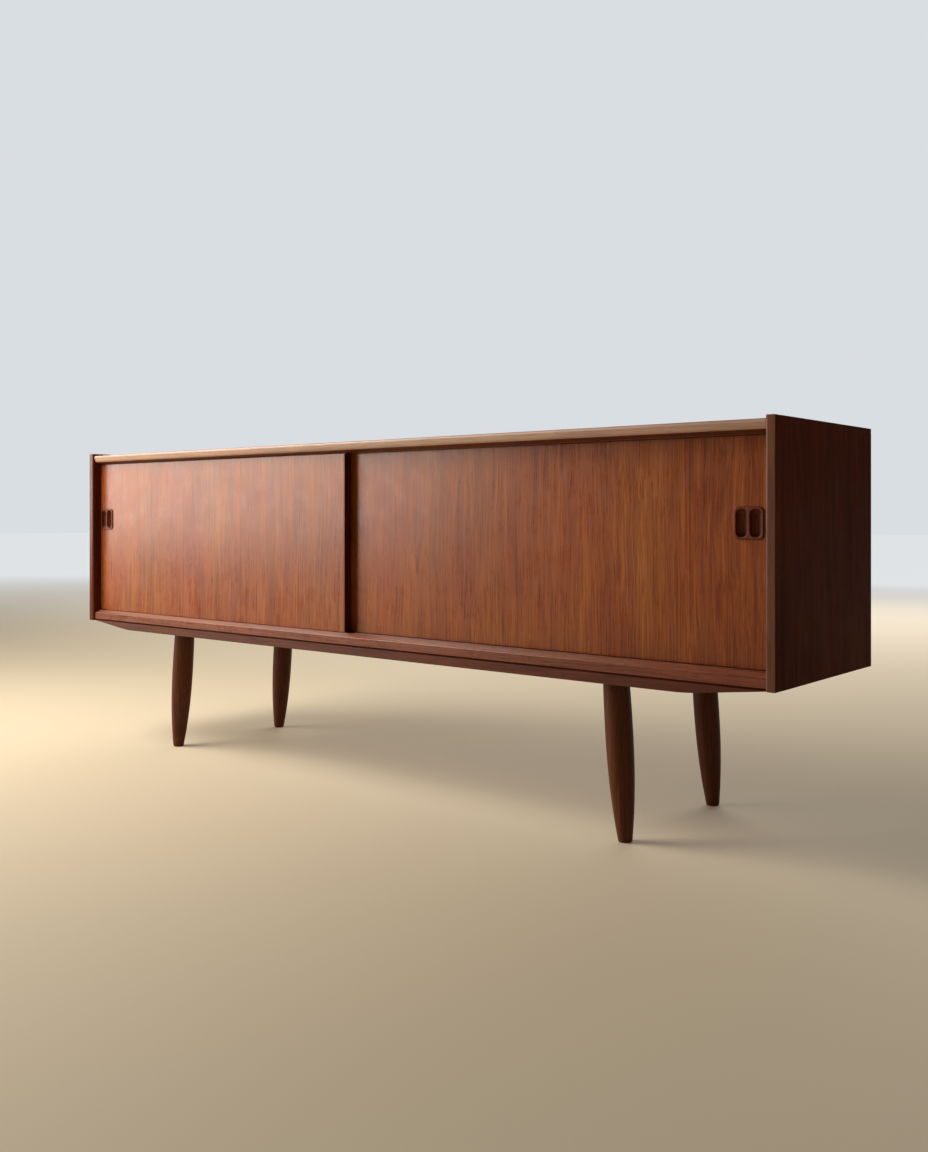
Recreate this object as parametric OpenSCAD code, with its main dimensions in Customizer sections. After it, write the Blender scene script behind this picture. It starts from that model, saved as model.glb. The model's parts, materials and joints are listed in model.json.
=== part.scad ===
// Low sideboard with two sliding doors on four turned, splayed legs.
// Millimetres. +X to the right, +Y to the back, +Z up. The origin is on the floor,
// under the middle of the case.

/* [Case] */
// Length of the case over the two side panels
length = 2000; // [1500:10:2600]
// Depth of the case, front edge of the sides to their back edge
depth = 430; // [360:5:560]
// Height of the side panels
case_h = 456; // [340:2:640]
// Height of the side panels' lower edge above the floor
floor_gap = 314; // [200:2:420]
// Thickness of the side panels and the divider
side_t = 18; // [15:0.5:24]
// Thickness of the top and bottom boards
board_t = 22; // [18:0.5:28]
// How far the top surface lies below the sides' upper edge
top_drop = 5; // [0:0.5:12]
// Height of the case's flat underside above the sides' lower edge
under_rise = 2.5; // [0:0.5:8]
// Bevel on the inner front arris of the side panels
arris = 3.5; // [1:0.5:6]

/* [Front rails] */
// Depth of the two solid front rails behind the rear door
rail_behind = 17; // [16:1:40]
// Thickness of the upper front rail
head_t = 23.5; // [22:0.5:32]
// How far the upper rail's front lies behind the sides at its upper edge
lip_set = 1.5; // [0:0.5:6]
// How far the lip's face leans back at its lower edge
lip_lean = 5.5; // [0:0.5:12]
// Height of the lip's leaning face
lip_h = 18; // [12:0.5:22]
// How far the sill's front lies behind the sides
sill_set = 5.5; // [0:0.5:14]
// Height of the sill's front face
sill_face = 19; // [12:0.5:26]
// Height of the bevel above the sill's face
bevel_h = 6.5; // [2:0.5:8]
// Depth of the bevels on the sill and under the lip
bevel_d = 15; // [6:0.5:18]
// Small bevel on each side of the shadow line between case and frame
shadow_line = 1.8; // [0.5:0.1:3]

/* [Doors] */
// How far the front door's face lies behind the sides
door_set = 23; // [22:0.5:40]
// Thickness of a door
door_t = 18; // [15:0.5:22]
// Free space between the two doors
door_gap = 4; // [3.5:0.5:8]
// How far the doors lap over each other when closed
door_lap = 22; // [10:1:60]
// Middle of the lap, to the right of the case's middle
lap_x = -34.5; // [-80:0.5:80]
// Width of a door's solid edge strips
edge_w = 3; // [2:0.5:12]
// Width of the grooves the doors run in
groove_w = 7; // [6:0.5:9]
// Depth of the upper grooves
upper_groove = 13; // [11:0.5:14]
// Depth of the lower grooves
lower_groove = 7; // [5:0.5:9]
// Play between a tongue and its groove, on each side
groove_play = 0.5; // [0.3:0.1:1]
// Gap above and below a door's shoulders
shoulder_gap = 1.5; // [1:0.1:3]
// How far a door's upper tongue stands into its groove
tongue_up = 6; // [4:0.5:7]
// Thickness of the slip strip in each lower groove
strip_t = 1; // [0.5:0.1:2]
// Length of each glide let into a door's lower edge
glide_l = 45; // [20:1:90]
// Height of each glide
glide_h = 6; // [3:0.5:8]

/* [Pulls] */
// Width of a pull
pull_w = 55; // [44:1:70]
// Height of a pull
pull_h = 56; // [44:1:90]
// Corner radius of a pull
pull_r = 9; // [4:0.5:12]
// How far a pull stands proud of the door
pull_proud = 2.5; // [1:0.5:3]
// How deep a pull is let into the door
pull_in = 13; // [8:0.5:13.5]
// Height of the pulls' middle above the sides' lower edge
pull_z = 277; // [150:1:400]
// From the left door's outer end to its pull
left_pull_inset = 4; // [3:0.5:60]
// From the right door's outer end to its pull
right_pull_inset = 21.5; // [1:0.5:60]
// Width of a pull's rim
rim_w = 4.2; // [2.5:0.1:6]
// Width of the rib between the two finger recesses
rib_w = 5; // [3:0.1:8]
// Corner radius of a finger recess
recess_r = 8.5; // [3:0.5:9]
// Thickness left under a finger recess
recess_floor = 2.5; // [1.5:0.5:4]

/* [Inside] */
// Thickness of the shelves
shelf_t = 18; // [15:0.5:22]
// Height of the shelves' upper face above the sides' lower edge
shelf_z = 235; // [120:1:340]
// Setback of the shelves behind the front rails
shelf_set = 10; // [2:1:120]
// Width of the solid strips on the divider and the shelves
lipping_w = 8; // [4:0.5:14]
// Radius of a shelf pin
pin_r = 3; // [2.5:0.5:4]
// Length of a shelf pin
pin_l = 18; // [14:1:24]
// How deep a shelf pin stands in its hole
pin_in = 8; // [5:0.5:8]
// Thickness of the back panels
back_t = 5; // [3:0.5:8]
// How far the back panels lie in front of the sides' back edge
back_set = 4; // [2:0.5:12]
// Width of the rebate that holds the back panels
rebate = 9; // [6:0.5:12]

/* [Side lippings] */
// Depth of the solid strip on the front of each side panel
front_lip_d = 30; // [10:1:45]
// Height of the solid strip on top of each side panel
top_lip_h = 9; // [4:0.5:20]

/* [Base frame] */
// Thickness of the frame's rails
frame_t = 20; // [16:0.5:30]
// Width of the front and rear frame rails
frame_w = 90; // [60:1:120]
// How far the front frame rail lies behind the sides' front
frame_set = 6; // [0:0.5:30]
// How far the rear frame rail lies in front of the sides' back edge
frame_back = 2; // [0:0.5:30]
// Length of the taper at each end of the rails
taper_l = 149; // [60:1:300]
// Radius that eases the taper into the straight underside
taper_r = 420; // [100:10:900]
// Width of the cross rails
cross_w = 60; // [40:1:90]
// Length of the cross rails' tenons
tenon_l = 20; // [10:1:30]
// Thickness of the cross rails' tenons
tenon_t = 8; // [5:0.5:10]
// Width of the cross rails' tenons
tenon_w = 40; // [20:1:50]

/* [Legs] */
// From the end of the case to the middle of a leg's top
leg_inset = 343; // [120:1:500]
// From the sides' front to the middle of a front leg's top
front_leg_y = 63; // [45:0.5:90]
// From the sides' back edge to the middle of a rear leg's top
rear_leg_y = 27; // [26.5:0.5:70]
// Outward splay of the legs, in degrees
splay = 4.27; // [0:0.01:9]
// Forward rake of the front legs, in degrees
rake = 0.7; // [0:0.01:3]
// Radius of a leg at its fullest
belly_r = 26; // [18:0.5:30]
// Height of the fullest part above the floor
belly_z = 210; // [120:1:250]
// Radius of a leg at the top
leg_top_r = 24.7; // [16:0.1:30]
// Radius of a leg near the floor
foot_r = 13; // [8:0.5:20]
// Rounding of the foot's lower edge
foot_round = 2.5; // [0.5:0.5:4]
// How late a leg draws in towards its foot: a higher power keeps it full for longer
foot_curve = 2.3; // [1.5:0.1:3]

/* [Fixings] */
// Radius of the leg bolts
bolt_r = 4; // [3:0.5:5]
// Length of a leg bolt in the leg
bolt_in = 45; // [25:1:70]
// Radius of the threaded inserts in the frame
insert_r = 6.5; // [5:0.5:8]
// Length of the threaded inserts
insert_l = 16; // [10:1:18]
// Radius of the case dowels
dowel_r = 4; // [3:0.5:5]
// Length of the case dowels
dowel_l = 30; // [20:1:40]
// How deep a case dowel stands in the piece it meets end on
dowel_in = 10; // [6:0.5:12]
// Radius of a screw's shank
screw_r = 1.75; // [1:0.25:3]
// Radius of a screw's head
screw_head = 3.5; // [2.5:0.25:6]
// Length of the back screws
back_screw_l = 20; // [14:1:30]
// Length of the frame screws
frame_screw_l = 34; // [28:1:38]
// From the ends of a row of dowels or pins to the edge of the board it stands in
row_end = 45; // [30:1:70]
// Radial clearance round dowels, pins, bolts, inserts and screws
fit = 0.05; // [0.02:0.01:0.1]
// Clearance between loose pieces and their neighbours
play = 0.5; // [0.3:0.1:1.5]
// Running gap between the door glides and the slip strips
slip_gap = 0.3; // [0.2:0.1:0.6]
// Gap between the head of a shelf pin and the shelf above it
rest_gap = 0.1; // [0.02:0.01:0.2]

/* [Hidden] */
$fn = 48;
// Extra length that takes a cut clear through a face
cut = 1;

// Heights above the floor
z_low = floor_gap;
z_high = floor_gap + case_h;
z_under = floor_gap + under_rise;
z_floor = z_under + board_t;
z_sill = z_under + sill_face + bevel_h;
z_top = z_high - top_drop;
z_ceiling = z_top - board_t;
z_head = z_top - head_t;
z_foot_frame = z_under - frame_t;
z_shelf = floor_gap + shelf_z;

// Places along the length and the depth
x_end = length / 2;
x_in = x_end - side_t;
y_front = -depth / 2;
y_back = depth / 2;
y_rail = y_front + door_set + 2 * door_t + door_gap + rail_behind;
y_panel = y_back - back_set - back_t;
y_shelf = y_rail + shelf_set;
x_leg = x_end - leg_inset;
// Along a leg's leaning axis: where the frame's underside lies, and where an insert starts
leg_l = z_foot_frame / cos(splay);
insert_low = leg_l + insert_r * tan(splay) + play;

// Doors: [outer end, inner end, face]
left_door = [-x_in + play, lap_x + door_lap / 2, y_front + door_set];
right_door = [x_in - play, lap_x - door_lap / 2, y_front + door_set + door_t + door_gap];
door_low = z_sill + shoulder_gap;
door_high = z_head - shoulder_gap;
tongue_t = groove_w - 2 * groove_play;
strip_z = z_sill - lower_groove;
glide_z = strip_z + strip_t + slip_gap;
tongue_low = glide_z + play;
tongue_high = z_head + tongue_up;
recess_w = (pull_w - 2 * rim_w - rib_w) / 2;
recess_h = pull_h - 2 * rim_w;

// Tongue that joins a board to its front rail: its thickness and its depth
board_tongue_t = board_t / 3;
// Case dowels: the first stands between the rear groove and the board's tongue
rail_dowel = (board_tongue_t + rail_behind + (door_t - groove_w) / 2) / 2;
dowel_ys = [y_rail - rail_dowel, y_rail + row_end, (y_rail + y_panel) / 2, y_panel - row_end];
dowel_zs = [z_floor - board_t / 2, z_ceiling + board_t / 2];
divider_ys = [y_rail + row_end, (y_rail + y_panel) / 2, y_panel - row_end];
// Shelf pins along the depth
pin_ys = [y_shelf + row_end, y_panel - row_end];
pin_z = z_shelf - shelf_t - rest_gap - pin_r;
// Screws through each back panel, as [x, z], for the right-hand panel
screw_in = rebate / 2;
// The two panels' screws stand this far above and below each other on the divider
stagger = 3 * screw_head;
back_rows = [z_floor - rebate / 2, z_ceiling + rebate / 2];
back_cols = [for (i = [0:3]) side_t + (x_in - 2 * side_t) * i / 3];
back_mid = [for (i = [0:2]) z_floor + (z_ceiling - z_floor) * (i + 1) / 4];
// Screws through the frame: across the legs' cross rails and the middle one
frame_cols = [-x_leg - cross_w, -cross_w, cross_w, x_leg + cross_w];
frame_rows = [y_front + frame_set + frame_w / 2, y_back - frame_back - frame_w / 2];
cross_y0 = y_front + frame_set + frame_w;
cross_y1 = y_back - frame_back - frame_w;
taper_x0 = x_in - play - taper_l;
taper_slope = (frame_t - under_rise) / taper_l;

// ---- Shared shapes ----

// A box from its lowest corner to its highest corner
module span(low, high) {
    translate(low) cube(high - low);
}

// An outline in Y and Z, drawn out along X from x0 to x1
module along_x(x0, x1, outline) {
    translate([x0, 0, 0]) rotate([90, 0, 90]) linear_extrude(x1 - x0) polygon(outline);
}

// A rod along X from x0 to x1
module rod_x(x0, x1, y, z, r) {
    translate([x0, y, z]) rotate([0, 90, 0]) cylinder(h = x1 - x0, r = r);
}

// A rod standing up from z0 to z1
module rod_z(x, y, z0, z1, r) {
    translate([x, y, z0]) cylinder(h = z1 - z0, r = r);
}

// A rectangle with round corners, centred
module round_rect(w, h, r) {
    square([w, h - 2 * r], center = true);
    square([w - 2 * r, h], center = true);
    for (sx = [-1, 1], sz = [-1, 1])
        translate([sx * (w / 2 - r), sz * (h / 2 - r)]) circle(r);
}

// A countersunk screw: its head's face at the origin, pointing along +Z; grow is the hole's room
module screw(l, grow = 0) {
    cone = screw_head - screw_r;
    translate([0, 0, -grow * 2]) cylinder(h = l + grow * 4, r = screw_r + grow);
    translate([0, 0, -grow]) cylinder(h = cone, r1 = screw_head + grow, r2 = screw_r + grow);
}

// ---- Places of what repeats ----

module case_dowels(side, grow = 0) {
    x0 = x_in + dowel_in - dowel_l - grow;
    x1 = x_in + dowel_in + grow;
    for (y = dowel_ys, z = dowel_zs)
        if (side > 0) rod_x(x0, x1, y, z, dowel_r + grow);
        else rod_x(-x1, -x0, y, z, dowel_r + grow);
}

module upright_dowels(grow = 0) {
    for (y = divider_ys) {
        rod_z(0, y, z_floor - dowel_in - grow, z_floor - dowel_in + dowel_l + grow, dowel_r + grow);
        rod_z(0, y, z_ceiling + dowel_in - dowel_l - grow, z_ceiling + dowel_in + grow, dowel_r + grow);
    }
}

// Shelf pins of one bay: side is -1 for the left bay and 1 for the right
module bay_pins(side, grow = 0) {
    for (y = pin_ys) {
        bay_pin(side * x_in, -side, y, grow);
        bay_pin(side * side_t / 2, side, y, grow);
    }
}

// One pin standing out of the face at x, towards dir
module bay_pin(x, dir, y, grow) {
    out = x + dir * (pin_l - pin_in + grow);
    deep = x - dir * (pin_in + grow);
    rod_x(min(out, deep), max(out, deep), y, pin_z, pin_r + grow);
}

module back_screw_set(grow = 0) {
    for (s = [-1, 1]) {
        for (x = back_cols, z = back_rows) back_screw_at(s * x, z, grow);
        for (z = back_mid) back_screw_at(s * (x_in + screw_in), z, grow);
        for (z = back_mid) back_screw_at(s * side_t / 4, z + s * stagger, grow);
    }
}

module back_screw_at(x, z, grow) {
    translate([x, y_panel + back_t, z]) rotate([90, 0, 0]) screw(back_screw_l, grow);
}

module frame_screw_set(grow = 0) {
    for (x = frame_cols, y = frame_rows)
        translate([x, y, z_foot_frame]) screw(frame_screw_l, grow);
}

// Puts a piece drawn along +Z, foot at the origin, on a leg's axis
module on_leg(sx, sy) {
    lean = sy < 0 ? rake : 0;
    foot_x = x_leg + z_foot_frame * tan(splay);
    foot_y = sy < 0 ? y_front + front_leg_y - z_foot_frame * tan(lean) : y_back - rear_leg_y;
    mirror([sx < 0 ? 1 : 0, 0, 0])
        translate([foot_x, foot_y, 0]) rotate([-lean, -splay, 0]) children();
}

module bolt_rod(r, low, high) {
    translate([0, 0, low]) cylinder(h = high - low, r = r);
}

module leg_bolt_holes() {
    for (sx = [-1, 1], sy = [-1, 1])
        on_leg(sx, sy) bolt_rod(insert_r + fit, leg_l - cut, insert_low + insert_l);
}

// ---- Case ----

module side_board(side) {
    difference() {
        mirror([side < 0 ? 1 : 0, 0, 0]) difference() {
            span([x_in, y_front + front_lip_d, z_low], [x_end, y_back, z_high - top_lip_h]);
            span([x_in - cut, y_panel, z_floor - rebate],
                 [x_in + rebate, y_back + cut, z_ceiling + rebate]);
        }
        case_dowels(side, fit);
        bay_pins(side, fit);
        back_screw_set(fit);
    }
}

module side_lipping(side) {
    x_arris = x_in + arris;
    mirror([side < 0 ? 1 : 0, 0, 0])
        translate([0, 0, z_low]) linear_extrude(case_h)
            polygon([[x_in, y_front + arris], [x_arris, y_front], [x_end, y_front],
                     [x_end, y_front + front_lip_d], [x_in, y_front + front_lip_d]]);
}

module top_lipping(side) {
    mirror([side < 0 ? 1 : 0, 0, 0])
        span([x_in, y_front + front_lip_d, z_high - top_lip_h], [x_end, y_back, z_high]);
}

// Tongue that joins a board to the rail in front of it
module board_tongue(z_mid, grow = 0) {
    span([-x_in, y_rail - board_tongue_t - grow, z_mid - board_tongue_t / 2],
         [x_in, y_rail + cut, z_mid + board_tongue_t / 2]);
}

module case_board(z0, z_mid, rebate_low) {
    difference() {
        union() {
            span([-x_in, y_rail, z0], [x_in, y_back - back_set / 2, z0 + board_t]);
            board_tongue(z_mid);
        }
        span([-x_in - cut, y_panel, rebate_low], [x_in + cut, y_back, rebate_low + rebate]);
        case_dowels(-1, fit);
        case_dowels(1, fit);
        upright_dowels(fit);
        back_screw_set(fit);
    }
}

module door_grooves(z0, z1) {
    for (door = [left_door, right_door])
        span([-x_in - cut, door[2] + (door_t - groove_w) / 2, z0],
             [x_in + cut, door[2] + (door_t + groove_w) / 2, z1]);
}

module top_board() {
    color("saddlebrown") case_board(z_ceiling, dowel_zs[1], z_ceiling);
}

module bottom_board() {
    color("saddlebrown") difference() {
        case_board(z_under, dowel_zs[0], z_floor - rebate);
        frame_screw_set(fit);
    }
}

module top_front_rail() {
    y_lip = y_front + lip_set;
    y_low = y_lip + lip_lean;
    color("sienna") difference() {
        along_x(-x_in, x_in, [
            [y_lip, z_top], [y_low, z_top - lip_h], [y_low + bevel_d, z_head],
            [y_rail, z_head], [y_rail, z_top]
        ]);
        board_tongue(dowel_zs[1], play);
        door_grooves(z_head - cut, z_head + upper_groove);
        case_dowels(-1, fit);
        case_dowels(1, fit);
    }
}

module bottom_front_rail() {
    y_sill = y_front + sill_set;
    color("sienna") difference() {
        along_x(-x_in, x_in, [
            [y_sill + shadow_line, z_under], [y_sill, z_under + shadow_line],
            [y_sill, z_under + sill_face], [y_sill + bevel_d, z_sill],
            [y_rail, z_sill], [y_rail, z_under]
        ]);
        board_tongue(dowel_zs[0], play);
        door_grooves(strip_z, z_sill + cut);
        case_dowels(-1, fit);
        case_dowels(1, fit);
        frame_screw_set(fit);
    }
}

module slip_strip(door) {
    y_mid = door[2] + door_t / 2;
    span([-x_in, y_mid - groove_w / 2, strip_z], [x_in, y_mid + groove_w / 2, strip_z + strip_t]);
}

// ---- Inside ----

module centre_divider() {
    color("saddlebrown") difference() {
        span([-side_t / 2, y_rail + lipping_w, z_floor], [side_t / 2, y_panel, z_ceiling]);
        upright_dowels(fit);
        bay_pins(-1, fit);
        bay_pins(1, fit);
        back_screw_set(fit);
    }
}

module divider_lipping() {
    color("sienna")
        span([-side_t / 2, y_rail, z_floor], [side_t / 2, y_rail + lipping_w, z_ceiling]);
}

// A back panel: side is -1 for the left bay and 1 for the right
module back_panel(side) {
    edge = rebate - play;
    difference() {
        mirror([side < 0 ? 1 : 0, 0, 0])
            span([0, y_panel, z_floor - edge], [x_in + edge, y_panel + back_t, z_ceiling + edge]);
        back_screw_set(fit);
    }
}

module bay_span(side, y0, y1) {
    mirror([side < 0 ? 1 : 0, 0, 0])
        span([side_t / 2 + play, y0, z_shelf - shelf_t], [x_in - play, y1, z_shelf]);
}

// ---- Doors ----

// A door's outline with its two tongues, from x0 to x1
module door_section(door, x0, x1) {
    y_face = door[2];
    y_mid = y_face + door_t / 2;
    span([x0, y_face, door_low], [x1, y_face + door_t, door_high]);
    span([x0, y_mid - tongue_t / 2, tongue_low], [x1, y_mid + tongue_t / 2, tongue_high]);
}

// A door's lower and higher end along the length
function door_low_x(door) = min(door[0], door[1]);
function door_high_x(door) = max(door[0], door[1]);

module door_glides(door, grow = 0) {
    y_mid = door[2] + door_t / 2;
    for (x = [door_low_x(door) + 2 * glide_l, door_high_x(door) - 3 * glide_l])
        span([x - grow, y_mid - tongue_t / 2 - grow, glide_z - grow],
             [x + glide_l + grow, y_mid + tongue_t / 2 + grow, glide_z + glide_h]);
}

function pull_x(door, side, inset) = door[0] - side * (inset + pull_w / 2);

module pull_block(x, door, grow = 0) {
    translate([x, door[2] + pull_in + grow, floor_gap + pull_z]) rotate([90, 0, 0])
        linear_extrude(pull_in + pull_proud + grow)
            round_rect(pull_w + 2 * grow, pull_h + 2 * grow, pull_r + grow);
}

module pull(x, door) {
    deep = pull_in + pull_proud - recess_floor;
    difference() {
        pull_block(x, door);
        for (s = [-1, 1])
            translate([x + s * (recess_w + rib_w) / 2,
                       door[2] - pull_proud + deep, floor_gap + pull_z])
                rotate([90, 0, 0]) linear_extrude(deep + cut) round_rect(recess_w, recess_h, recess_r);
    }
}

module door_panel(door, x_pull) {
    difference() {
        door_section(door, door_low_x(door) + edge_w, door_high_x(door) - edge_w);
        pull_block(x_pull, door, fit);
        door_glides(door, fit);
    }
}

module door_edges(door, x_pull) {
    x0 = door_low_x(door);
    x1 = door_high_x(door);
    difference() {
        union() {
            door_section(door, x0, x0 + edge_w);
            door_section(door, x1 - edge_w, x1);
        }
        pull_block(x_pull, door, fit);
    }
}

// ---- Base frame ----

// One half of a frame rail's lower edge: straight taper, eased by an arc
function eased(n) = [
    for (i = [0:n])
        let (
            turn = atan(taper_slope),
            x_mid = taper_x0,
            reach = taper_r * tan(turn / 2),
            a = turn * i / n
        )
        [x_mid - reach + taper_r * sin(a), z_foot_frame + taper_r * (1 - cos(a))]
];

module frame_outline() {
    tip = [x_in - play, z_low];
    half = concat(eased(8), [tip, [x_in - play, z_under]]);
    polygon(concat(half, [for (i = [len(half) - 1:-1:0]) [-half[i][0], half[i][1]]]));
}

module mortises() {
    for (x = [-x_leg, 0, x_leg]) tenon(x, fit);
}

module tenon(x, grow = 0) {
    z_mid = z_under - frame_t / 2;
    span([x - tenon_w / 2 - grow, cross_y0 - tenon_l - grow, z_mid - tenon_t / 2 - grow],
         [x + tenon_w / 2 + grow, cross_y1 + tenon_l + grow, z_mid + tenon_t / 2 + grow]);
}

module frame_rail(y0) {
    difference() {
        translate([0, y0 + frame_w, 0]) rotate([90, 0, 0]) linear_extrude(frame_w) frame_outline();
        mortises();
        leg_bolt_holes();
        frame_screw_set(fit);
    }
}

module front_frame_rail() {
    y0 = y_front + frame_set;
    color("sienna") difference() {
        frame_rail(y0);
        along_x(-x_end, x_end, [
            [y0 - cut, z_under - shadow_line - cut], [y0 - cut, z_under + cut],
            [y0 + shadow_line + cut, z_under + cut]
        ]);
    }
}

module cross_rail(x) {
    span([x - cross_w / 2, cross_y0, z_foot_frame], [x + cross_w / 2, cross_y1, z_under]);
    intersection() {
        tenon(x);
        span([x - cross_w, cross_y0 - tenon_l, z_foot_frame], [x + cross_w, cross_y1 + tenon_l, z_under]);
    }
}

// ---- Legs ----

// Radius of a leg at a height h along its axis
function leg_r(h) = h < belly_z
    ? belly_r - (belly_r - foot_r) * pow(1 - h / belly_z, foot_curve)
    : belly_r - (belly_r - leg_top_r) * pow((h - belly_z) / (leg_l - belly_z), 2);

module leg_blank() {
    steps = 26;
    top = leg_l + 2 * leg_top_r * tan(splay);
    body = [for (i = [1:steps]) let (h = foot_round + (top - foot_round) * i / steps) [leg_r(h), h]];
    foot = [for (i = [0:4]) let (a = 90 * i / 4)
        [leg_r(foot_round) - foot_round * (1 - sin(a)), foot_round * (1 - cos(a))]];
    low = -2 * foot_r * tan(splay);
    rotate_extrude() polygon(concat([[0, low], [foot[0][0], low]], foot, body, [[0, top]]));
}

module leg(sx, sy) {
    difference() {
        intersection() {
            on_leg(sx, sy) leg_blank();
            span([-x_end, y_front, 0], [x_end, y_back, z_foot_frame]);
        }
        on_leg(sx, sy) bolt_rod(bolt_r + fit, leg_l - bolt_in - play, leg_l + belly_r);
    }
}

module leg_bolts() {
    color("silver") for (sx = [-1, 1], sy = [-1, 1])
        on_leg(sx, sy) bolt_rod(bolt_r, leg_l - bolt_in, insert_low + insert_l - play);
}

module leg_inserts() {
    color("silver") for (sx = [-1, 1], sy = [-1, 1])
        on_leg(sx, sy) difference() {
            bolt_rod(insert_r, insert_low, insert_low + insert_l - play);
            bolt_rod(bolt_r + fit, leg_l, insert_low + insert_l);
        }
}

// ---- One module per sub-part ----

module left_side_panel() { color("saddlebrown") side_board(-1); }
module right_side_panel() { color("saddlebrown") side_board(1); }
module left_side_lipping() { color("sienna") side_lipping(-1); }
module right_side_lipping() { color("sienna") side_lipping(1); }
module left_top_lipping() { color("sienna") top_lipping(-1); }
module right_top_lipping() { color("sienna") top_lipping(1); }
module front_slip_strip() { color("dimgray") slip_strip(left_door); }
module rear_slip_strip() { color("dimgray") slip_strip(right_door); }
module left_back_panel() { color("peru") back_panel(-1); }
module right_back_panel() { color("peru") back_panel(1); }
module back_screws() { color("silver") back_screw_set(); }
module left_shelf() { color("saddlebrown") bay_span(-1, y_shelf + lipping_w, y_panel - play); }
module right_shelf() { color("saddlebrown") bay_span(1, y_shelf + lipping_w, y_panel - play); }
module left_shelf_lipping() { color("sienna") bay_span(-1, y_shelf, y_shelf + lipping_w); }
module right_shelf_lipping() { color("sienna") bay_span(1, y_shelf, y_shelf + lipping_w); }
module left_shelf_pins() { color("goldenrod") bay_pins(-1); }
module right_shelf_pins() { color("goldenrod") bay_pins(1); }
module left_case_dowels() { color("tan") case_dowels(-1); }
module right_case_dowels() { color("tan") case_dowels(1); }
module divider_dowels() { color("tan") upright_dowels(); }
module left_door_panel() {
    color("peru") door_panel(left_door, pull_x(left_door, -1, left_pull_inset));
}
module right_door_panel() {
    color("peru") door_panel(right_door, pull_x(right_door, 1, right_pull_inset));
}
module left_door_edges() {
    color("sienna") door_edges(left_door, pull_x(left_door, -1, left_pull_inset));
}
module right_door_edges() {
    color("sienna") door_edges(right_door, pull_x(right_door, 1, right_pull_inset));
}
module left_pull() { color("sienna") pull(pull_x(left_door, -1, left_pull_inset), left_door); }
module right_pull() { color("sienna") pull(pull_x(right_door, 1, right_pull_inset), right_door); }
module left_door_glides() { color("ivory") door_glides(left_door); }
module right_door_glides() { color("ivory") door_glides(right_door); }
module rear_frame_rail() { color("sienna") frame_rail(y_back - frame_back - frame_w); }
module left_cross_rail() { color("sienna") cross_rail(-x_leg); }
module middle_cross_rail() { color("sienna") cross_rail(0); }
module right_cross_rail() { color("sienna") cross_rail(x_leg); }
module frame_screws() { color("silver") frame_screw_set(); }
module front_left_leg() { color("sienna") leg(-1, -1); }
module front_right_leg() { color("sienna") leg(1, -1); }
module rear_left_leg() { color("sienna") leg(-1, 1); }
module rear_right_leg() { color("sienna") leg(1, 1); }

left_side_panel();
right_side_panel();
left_side_lipping();
right_side_lipping();
left_top_lipping();
right_top_lipping();
top_board();
top_front_rail();
bottom_board();
bottom_front_rail();
front_slip_strip();
rear_slip_strip();
centre_divider();
divider_lipping();
left_back_panel();
right_back_panel();
back_screws();
left_shelf();
right_shelf();
left_shelf_lipping();
right_shelf_lipping();
left_shelf_pins();
right_shelf_pins();
left_case_dowels();
right_case_dowels();
divider_dowels();
left_door_panel();
right_door_panel();
left_door_edges();
right_door_edges();
left_pull();
right_pull();
left_door_glides();
right_door_glides();
front_frame_rail();
rear_frame_rail();
left_cross_rail();
middle_cross_rail();
right_cross_rail();
frame_screws();
front_left_leg();
front_right_leg();
rear_left_leg();
rear_right_leg();
leg_bolts();
leg_inserts();
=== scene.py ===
import math

import bmesh
import bpy
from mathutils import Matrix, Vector
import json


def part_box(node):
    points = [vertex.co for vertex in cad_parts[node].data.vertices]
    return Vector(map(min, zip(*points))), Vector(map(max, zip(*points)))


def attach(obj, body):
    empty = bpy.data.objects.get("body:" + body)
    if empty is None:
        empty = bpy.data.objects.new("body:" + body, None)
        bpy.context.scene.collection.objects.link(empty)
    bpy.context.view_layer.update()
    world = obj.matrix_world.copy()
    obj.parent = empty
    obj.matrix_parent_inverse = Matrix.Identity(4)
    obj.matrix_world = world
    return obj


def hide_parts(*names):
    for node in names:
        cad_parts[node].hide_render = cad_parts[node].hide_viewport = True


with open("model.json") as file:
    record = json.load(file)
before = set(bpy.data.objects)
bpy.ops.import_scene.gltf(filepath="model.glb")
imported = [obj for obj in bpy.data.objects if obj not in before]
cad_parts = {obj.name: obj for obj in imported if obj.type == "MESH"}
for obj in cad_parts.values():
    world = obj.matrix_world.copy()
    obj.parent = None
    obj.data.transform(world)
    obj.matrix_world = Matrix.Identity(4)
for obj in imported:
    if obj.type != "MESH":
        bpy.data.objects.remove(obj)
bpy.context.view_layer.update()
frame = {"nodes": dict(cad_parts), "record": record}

# A low teak sideboard with two sliding doors. Metres, +X right, +Y back, +Z up, floor at 0.
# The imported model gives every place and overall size. The pieces below are its finished
# joinery, with eased arrises, scooped pulls, turned legs and oiled teak.

MM = 0.001

# Nearness of two places that count as one, and of two points that are merged
TOUCH = 0.01 * MM
WELD = 0.001 * MM
# Cosine above which a face looks one way
FACING = 0.9
# How far a tool runs past the wood that it cuts
OVERCUT = 5 * MM

# Eased arrises
FINE_EASE = 0.4 * MM
EDGE_EASE = 0.8 * MM
FRAME_EASE = 1.6 * MM
SMOOTH_ANGLE = 32
PULL_SMOOTH_ANGLE = 50
LEG_SMOOTH_ANGLE = 40

# Case: mouldings of the two front rails, inner arris of the side lippings, joints
LIP_LEAN = 5.5 * MM
LIP_HEIGHT = 18 * MM
LIP_TOP_ROUND = 7 * MM
LIP_LOW_ROUND = 5 * MM
LIP_STEPS = 7
MOULD_DEPTH = 15 * MM
SILL_FACE = 19 * MM
SHADOW_LINE = 2.0 * MM
LIPPING_ARRIS = 3.5 * MM
UPPER_GROOVE = 13 * MM
REBATE_PLAY = 0.5 * MM

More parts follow.
